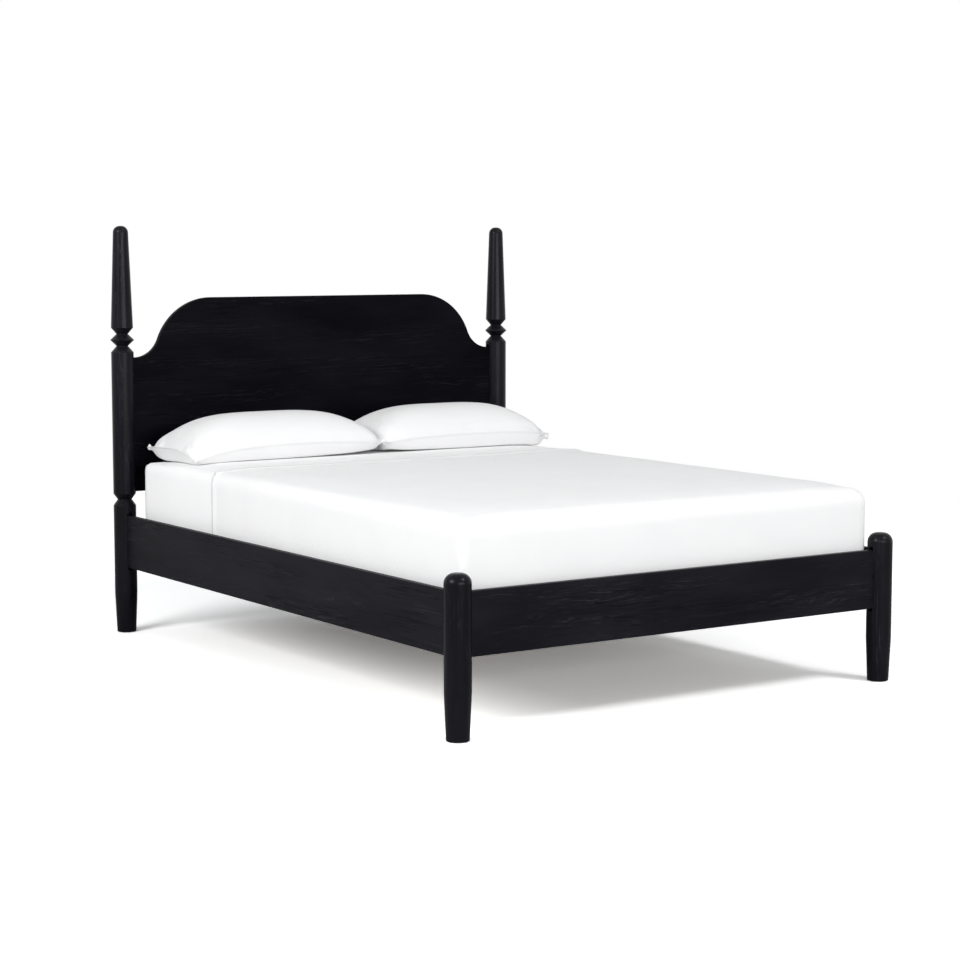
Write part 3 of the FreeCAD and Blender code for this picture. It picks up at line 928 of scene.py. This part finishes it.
def glide(length):
    """A round glide with its nail."""
    corners = [(0, 0, 0), (glide_radius, 0, glide_round), (glide_radius, glide_height, steel_edge),
               (nail_radius, glide_height, 0), (nail_radius, length - nail_point, 0), (0, length, 0)]
    return lathe(rounded_profile(corners, glide_arc_steps))


def pad(height):
    """The pad of the levelling foot, open on top for its stud."""
    radius = half_width("levelling_foot_pad")
    corners = [(0, 0, 0), (radius, 0, steel_edge), (radius, height, pad_round), (bolt_hole, height, 0),
               (bolt_hole, pad_floor, 0), (0, pad_floor, 0)]
    return lathe(rounded_profile(corners, pad_arc_steps))


def insert(height):
    """The threaded insert of the centre leg."""
    radius = half_width("centre_leg_insert")
    root = radius - insert_thread
    rows = thread(root, radius, screw_pitch, steel_edge, height - steel_edge)
    rows = [(bolt_hole, 0), (root, 0)] + rows + [(root, height), (bolt_hole, height)]
    return lathe(rows, closed=True)


def dowel(length):
    """A fluted dowel with chamfered ends."""
    def fluted(height):
        return lambda turn: (dowel_radius - dowel_flute * (1 + math.cos(dowel_flutes * turn)) / 2, height)

    end = dowel_radius - dowel_chamfer
    flutes = [fluted(dowel_chamfer), fluted(length - dowel_chamfer)]
    return lathe([(0, 0), (end, 0)] + flutes + [(end, length), (0, length)])


def hardware():
    """Every screw, bolt, washer, nut, glide, stud and dowel, in the places of the CAD solids."""
    directions = {
        "corner_plate_screws": through_plate,
        "ledger_screws": outward("X"),
        "slat_screws": upright(-1),
        "beam_hanger_screws": outward("Y"),
    }
    for node, direction in directions.items():
        length = screw_lengths[node]
        repeated(node, node + "_cross", wood_screw(length), length, direction, steel, "zinc_steel")
    for node, ending, item, length in (
        ("corner_bolts", "_threaded", stud(bolt_length), bolt_length),
        ("corner_washers", "_round", washer(), washer_height),
        ("corner_nuts", "_chamfered", nut(), nut_height),
    ):
        repeated(node, node + ending, item, length, to_middle, steel, "zinc_steel")
    for node, item, material, slot in (
        ("centre_leg_stud", stud, steel, "zinc_steel"),
        ("levelling_foot_stud", stud, steel, "zinc_steel"),
        ("centre_leg_insert", insert, steel, "zinc_steel"),
        ("levelling_foot_pad", pad, pad_plastic, "pad_plastic"),
        ("post_glides", glide, glide_plastic, "glide_plastic"),
    ):
        low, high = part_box(node)
        length = high.z - low.z
        repeated(node, node + "_turned", item(length), length, upright(1), material, slot)
    made = repeated("headboard_dowels", "headboard_dowels_fluted", dowel(dowel_length), dowel_length,
                    outward("X"), pine, "plain_wood")
    lay_grain(made, "X")


def centre_leg():
    """The round leg, bored from below for its insert and the levelling stud."""
    low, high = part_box("centre_leg")
    radius = half_width("centre_leg")
    sleeve = half_width("centre_leg_insert") + insert_play
    sleeve_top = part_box("centre_leg_insert")[1].z
    bore = bolt_radius + bolt_play
    corners = [(0, low.z + leg_bore, 0), (bore, low.z + leg_bore, 0), (bore, sleeve_top, 0),
               (sleeve, sleeve_top, 0), (sleeve, low.z, 0), (radius, low.z, arris), (radius, high.z, arris),
               (0, high.z, 0)]
    bm = lathe(rounded_profile(corners), turning_steps)
    made = piece("centre_leg_round", bm, pine, "bed_frame", "plain_wood", ["centre_leg"])
    lay_grain(made, "Z")
    weighted(made)


def tube(bm, places, radius, normal, closed):
    """Adds a round cord or wire along places that lie near a plane with a normal."""
    turns = [2 * math.pi * step / cord_steps for step in range(cord_steps)]
    rings = []
    for k, place in enumerate(places):
        back = places[k - 1] if closed or k > 0 else place
        ahead = places[(k + 1) % len(places)] if closed or k + 1 < len(places) else place
        side = (ahead - back).cross(normal).normalized()
        up = side.cross(ahead - back).normalized()
        rings.append([bm.verts.new(place + radius * (math.cos(t) * side + math.sin(t) * up)) for t in turns])
    for last, ring in zip(rings, rings[1:] + rings[:1] if closed else rings[1:]):
        for step in range(cord_steps):
            bm.faces.new([last[step - 1], last[step], ring[step], ring[step - 1]]).smooth = True
    if not closed:
        bm.faces.new(rings[0])
        bm.faces.new(rings[-1])


def staples(side):
    """The staples that hold a strap to each slat, their crowns under the strap."""
    low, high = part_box("slat_strap_" + side)
    x = (low.x + high.x) / 2
    bottom = low.z - staple_wire
    path = [(-staple_half, staple_leg), (-staple_half, staple_bend), (staple_bend - staple_half, 0)]
    path += [(-across, up) for across, up in reversed(path)]
    bm = bmesh.new()
    for node in slat_nodes:
        slat_low, slat_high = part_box(node)
        y = (slat_low.y + slat_high.y) / 2
        places = [Vector((x + across, y, bottom + up)) for across, up in path]
        tube(bm, places, staple_wire, Vector((0, 1, 0)), closed=False)
    piece("strap_staples_" + side, bm, steel, "bed_frame", "zinc_steel")


def box_skin(low, high, cell, open_side=None):
    """The skin of a box as a grid of quads, without its open side, named such as -Z."""
    counts = [max(2, round((high[k] - low[k]) / cell)) for k in range(3)]
    bm = bmesh.new()
    made = {}

    def corner(index):
        if index not in made:
            shares = [index[k] / counts[k] for k in range(3)]
            made[index] = bm.verts.new([low[k] + (high[k] - low[k]) * shares[k] for k in range(3)])
        return made[index]

    for axis in range(3):
        a, b = (axis + 1) % 3, (axis + 2) % 3
        for end, mark in ((0, "-"), (counts[axis], "+")):
            if mark + "XYZ"[axis] == open_side:
                continue
            for i in range(counts[a]):
                for j in range(counts[b]):
                    quad = []
                    for di, dj in quad_corners:
                        index = [0, 0, 0]
                        index[axis], index[a], index[b] = end, i + di, j + dj
                        quad.append(corner(tuple(index)))
                    bm.faces.new(quad if end else quad[::-1])
    return bm


def crown_fall(x, y):
    """How far the top of the mattress falls at a place, towards its edges."""
    distances = (mattress_high.x - abs(x), y - mattress_low.y, mattress_high.y - y)
    nearness = [max(0, 1 - distance / crown_width) for distance in distances]
    return crown_drop * min(1, math.hypot(*nearness)) ** 2


def soften(bm, low, high):
    """Rounds the edges of a box's skin, its corners more squarely, and lets its top fall to the edges."""
    for vertex in bm.verts:
        rounding = head_round + (foot_round - head_round) * (high.y - vertex.co.y) / (high.y - low.y)
        inner = Vector([min(max(vertex.co[k], low[k] + rounding), high[k] - rounding) for k in range(3)])
        out = vertex.co - inner
        level = (abs(out.x) ** corner_power + abs(out.y) ** corner_power) ** (1 / corner_power)
        vertex.co = inner + out * (rounding / math.hypot(level, out.z))
        vertex.co.z -= crown_fall(vertex.co.x, vertex.co.y) * (vertex.co.z - low.z) / (high.z - low.z)


def drape(bm):
    """Lets a cloth's skin undulate softly."""
    bm.normal_update()
    moves = [vertex.normal * drape_height * noise.fractal(vertex.co / drape_size, *drape_noise)
             for vertex in bm.verts]
    for vertex, move in zip(bm.verts, moves):
        vertex.co += move


def grown(growth):
    """The mattress's box, grown on all sides."""
    step = Vector((growth, growth, growth))
    return mattress_low - step, mattress_high + step


def mattress():
    """The mattress under its sheets."""
    low, high = grown(-mattress_inset)
    bm = box_skin(low, high, mattress_cell)
    soften(bm, low, high)
    body = piece("mattress_body", bm, mattress_ticking, "mattress", "mattress_cover", ["mattress"])


def open_below(bm, low, far_x, far_y, edge):
    """Opens a cloth's skin under the mattress, inside an edge that stays there."""
    hidden = []
    for face in bm.faces:
        middle = face.calc_center_median()
        if middle.z < low.z + cloth and low.x + edge < middle.x < far_x and low.y + edge < middle.y < far_y:
            hidden.append(face)
    bmesh.ops.delete(bm, geom=hidden, context="FACES")


def fitted_sheet():
    """The fitted sheet, open under the mattress inside its gathered hem."""
    low, high = grown(fitted_growth)
    bm = box_skin(low, high, sheet_cell)
    open_below(bm, low, high.x - fitted_hem, high.y - fitted_hem, fitted_hem)
    soften(bm, low, high)
    drape(bm)
    made = piece("fitted_sheet_cloth", bm, fitted_cotton, "mattress", "sheet_cotton", ["fitted_sheet"])
    modified(made, "thickness", "SOLIDIFY", thickness=cloth, offset=0)


def top_edge(x):
    """The Y of the top sheet's head edge: hollow on top, rounded at the sides, straight down."""
    high = grown(top_growth)[1]
    level = top_edge_middle + top_edge_rise * abs(x / high.x) ** top_edge_power
    over = abs(x) - (high.x - top_edge_turn)
    turned = min(max(over / top_edge_turn, 0), 1)
    return level - top_edge_side_drop * (1 - math.sqrt(1 - turned ** 2))


def in_hem(place):
    """Whether a place on the top sheet lies in the hem of its head edge."""
    return top_edge(place.x) - place.y < hem_width


def top_sheet():
    """The flat sheet over the foot part, tucked under on three sides, its head edge hemmed."""
    low, high = grown(top_growth)
    bm = box_skin(low, high, sheet_cell, "+Y")
    open_below(bm, low, high.x - top_tuck, high.y, top_tuck)
    start = low.y + top_tuck
    for vertex in bm.verts:
        if vertex.co.y > start:
            edge = top_edge(vertex.co.x)
            vertex.co.y = start + (vertex.co.y - start) * (edge - start) / (high.y - start)
    soften(bm, low, high)
    drape(bm)
    bm.normal_update()
    for vertex in bm.verts:
        if in_hem(vertex.co):
            from_corner = math.hypot(high.x - abs(vertex.co.x), high.z - vertex.co.z)
            lift = hem_lift + hem_corner_lift * max(0, 1 - from_corner / hem_corner_reach)
            vertex.co += lift * vertex.normal
    made = piece("top_sheet_cloth", bm, sheet_cotton, "mattress", "sheet_cotton", ["top_sheet"])
    hem = made.vertex_groups.new(name="hem")
    for vertex in made.data.vertices:
        hem.add([vertex.index], 1.0 if in_hem(vertex.co) else cloth / hem_thickness, "REPLACE")
    modified(made, "thickness", "SOLIDIFY", thickness=hem_thickness, offset=0, vertex_group="hem")


def pillow_blank(length, depth):
    """The closed cloth of a pillow about its seam, and the points along the seam in order."""
    columns = round(length / pillow_cell)
    rows = round(depth / pillow_cell)
    bm = bmesh.new()
    made = {}

    def corner(i, j, side):
        rim = i in (0, columns) or j in (0, rows)
        key = (i, j, 0 if rim else side)
        if key not in made:
            u, v = 2 * i / columns - 1, 2 * j / rows - 1
            x = u * (length / 2 - pillow_draw * (1 - v ** 2))
            y = v * (depth / 2 - pillow_draw * (1 - u ** 2))
            if side > 0:
                rise = (1 - abs(u) ** crown_long_power) ** crown_long_share
                height = pillow_crown * rise * (1 - abs(v) ** crown_short_power) ** crown_short_share
            else:
                height = -pillow_belly * math.sqrt((1 - u ** belly_power) * (1 - v ** belly_power))
            made[key] = bm.verts.new((x, y, height))
        return made[key]

    for side in (1, -1):
        for i in range(columns):
            for j in range(rows):
                quad = [corner(i + di, j + dj, side) for di, dj in quad_corners]
                bm.faces.new(quad if side > 0 else quad[::-1])
    bm.verts.index_update()
    around = [(i, 0) for i in range(columns)] + [(columns, j) for j in range(rows)]
    around += [(i, rows) for i in range(columns, 0, -1)] + [(0, j) for j in range(rows, 0, -1)]
    return bm, [made[(i, j, 0)].index for i, j in around]


def inflate(obj, seam):
    """Fills a pillow by cloth simulation, its seam held, and caps how far each point moves."""
    before = [vertex.co.copy() for vertex in obj.data.vertices]
    obj.vertex_groups.new(name="seam").add(seam, 1.0, "REPLACE")
    modifier = modified(obj, "fill", "CLOTH")
    set_all(modifier.settings, fill_settings)
    modifier.settings.effector_weights.gravity = 0
    modifier.collision_settings.use_collision = False
    modifier.point_cache.frame_start = 1
    modifier.point_cache.frame_end = fill_frames
    for number in range(1, fill_frames + 1):
        scene.frame_set(number)
    applied(obj)
    scene.frame_set(1)
    for vertex, start in zip(obj.data.vertices, before):
        move = vertex.co - start
        if move.length > fill_cap:
            vertex.co = start + move * (fill_cap / move.length)


def lap_level(x, share):
    """How high above the sheet the left pillow lies on the right one, at a share of the depth."""
    along = min(max((x - lap_start) / (lap_end - lap_start), 0), lap_limit)
    return lap_low + along * (lap_edge + lap_crown * max(0, 1 - share ** 2))


def corner_sum(heights, level, u, v, focus):
    """A level that changes towards a pillow's four corners to their heights."""
    result = level
    for (i, j), height in zip(pillow_corners, heights):
        nearness = max((1 + i * u) * (1 + j * v) / 4, 0) ** focus
        result += nearness * (height - level)
    return result


def placed(low, high, share, swell, pull):
    """Where a share of a pillow's half size lies, with its swell and its corner's pull."""
    spread = sign(share) * (swell * abs(share) ** swell_power - pull)
    return (low + high) / 2 + share * (high - low) / 2 + spread


def settle(obj, side):
    """Seats a filled pillow on the sheet, and lays one end over or under the other's."""
    points = [vertex.co for vertex in obj.data.vertices]
    reach = [max(abs(point[k]) for point in points) for k in range(2)]
    rise = max(point.z for point in points)
    fall = -min(point.z for point in points)
    bed_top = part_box("fitted_sheet")[1].z
    for point in points:
        u, v = point.x / reach[0], point.y / reach[1]
        seam = corner_sum(seam_corners[side], pillow_seam_height, u, v, seam_focus)
        seat = min(corner_sum(seat_corners[side], 0, u, v, seat_focus), seam)
        pull = corner_sum(corner_pulls[side], 0, u, v, seam_focus)
        corner = ((1 + abs(u)) * (1 + abs(v)) / 4) ** corner_focus
        if point.z > 0:
            up = point.z / rise
            height = seam + pillow_crown * up ** (1 - corner_fullness * corner)
            swell = seam_pull * math.sin(math.pi * min(up / seam_pull_crown, 1))
        else:
            down = seat_share * point.z / fall
            height = max(seat, seat + (seam - seat) * (1 + down))
            swell = belly_bulge * math.sin(math.pi / 2 * min(-down, 1))
        turn = math.atan2(1 - abs(v), 1 - abs(u))
        spread = min(math.hypot(1 - abs(u), 1 - abs(v)) / crease_start, 1) * min(abs(point.z) / fall, 1)
        height += crease_height * corner * spread * math.sin(crease_count * turn)
        point.x = placed(*pillow_ends[side], u, swell, pull)
        point.y = placed(pillow_front, pillow_back, v, swell, pull)
        lap = lap_level(point.x, v)
        if side == "left" and point.x > lap_start:
            height = max(height, lap + pillow_gap)
        if side == "right" and lap < height and point.x < lap_end + (lap_end - lap_start) / 2:
            height = lap - pillow_gap
        point.z = bed_top + pillow_gap + height - crown_fall(point.x, point.y)


def cord(obj, loop, radius):
    """Adds a sewn cord along a closed loop of points of the object."""
    bm = bmesh.new()
    bm.from_mesh(obj.data)
    tube(bm, [obj.data.vertices[index].co.copy() for index in loop], radius, Vector((0, 0, 1)), closed=True)
    bmesh.ops.recalc_face_normals(bm, faces=bm.faces)
    bm.to_mesh(obj.data)
    bm.free()


def pillow(side):
    """One filled pillow, filled by cloth simulation."""
    node = "pillow_" + side
    low_end, high_end = pillow_ends[side]
    bm, seam = pillow_blank(high_end - low_end, pillow_back - pillow_front)
    made = piece(node + "_filled", bm, pillow_cotton, node, "pillow_cotton", [node])
    inflate(made, seam)
    settle(made, side)
    cord(made, seam, seam_cord)
    modified(made, "smooth", "SUBSURF", levels=1, render_levels=1)


def floor():
    """The pale floor, brighter for the camera, so that it fades into the white background."""
    bpy.ops.mesh.primitive_plane_add(size=floor_size)
    ground = bpy.context.object
    ground.name = "floor"
    material, add = blank("floor")
    real = add("BsdfDiffuse", {"Color": rgba(floor_pale)})
    shown = add("BsdfDiffuse", {"Color": rgba(floor_shown)})
    glow = add("Emission", {"Color": rgba(1), "Strength": floor_glow})
    shown = add("AddShader", {0: shown.outputs[0], 1: glow.outputs[0]})
    seen = add("LightPath").outputs["Is Camera Ray"]
    both = add("MixShader", {0: seen, 1: real.outputs[0], 2: shown.outputs[0]})
    add("OutputMaterial", {"Surface": both.outputs[0]})
    ground.data.materials.append(material)


def lamp(name, place, size, energy):
    """A large soft lamp aimed at the bed."""
    data = bpy.data.lights.new(name, "AREA")
    data.shape = "RECTANGLE"
    data.size, data.size_y = size
    data.energy = energy
    obj = linked(name, data)
    obj.location = place
    obj.rotation_euler = (lamp_target - Vector(place)).to_track_quat("-Z", "Y").to_euler()
    obj.visible_camera = False


def world():
    """Soft light from all round, and plain white for the camera and in reflections."""
    studio = bpy.data.worlds.new("studio")
    scene.world = studio
    add = node_tree(studio)
    light = add("Background", {"Color": rgba(world_tint), "Strength": world_strength})
    white = add("Background", {"Color": rgba(1), "Strength": 1.0})
    rays = add("LightPath").outputs
    seen = joined(add, "MAXIMUM", rays["Is Camera Ray"], rays["Is Glossy Ray"])
    seen = joined(add, "MAXIMUM", seen, rays["Is Transmission Ray"])
    both = add("MixShader", {0: seen, 1: light.outputs[0], 2: white.outputs[0]})
    add("OutputWorld", {"Surface": both.outputs[0]})


def camera():
    """The camera at the photograph's place and angle."""
    data = bpy.data.cameras.new("camera")
    data.lens = camera_lens
    data.sensor_width = camera_sensor
    data.clip_end = camera_reach
    obj = linked("camera", data)
    obj.location = camera_place
    obj.rotation_euler = (math.pi / 2 + camera_pitch, 0, -camera_yaw)
    scene.camera = obj


for side in ("left", "right"):
    foot_post("foot_post_" + side)
    head_post("head_post_" + side)
    rail("side_rail_" + side, "Y")
    carried("ledger_" + side, pine, slat_edge, "Y")
    carried("slat_strap_" + side, webbing, steel_edge)
for end in ("foot", "head"):
    rail(end + "_rail", "X")
    carried("beam_hanger_" + end, steel, steel_edge)
headboard()
for node in slat_nodes:
    carried(node, pine, slat_edge, "X")
carried("centre_beam", pine, slat_edge, "Y")
centre_leg()
hardware()
for side in ("left", "right"):
    staples(side)

mattress()
fitted_sheet()
top_sheet()
pillow("left")
pillow("right")

floor()
world()
for name, row in lamps.items():
    lamp(name, *row)
camera()

scene.view_settings.view_transform = "Standard"
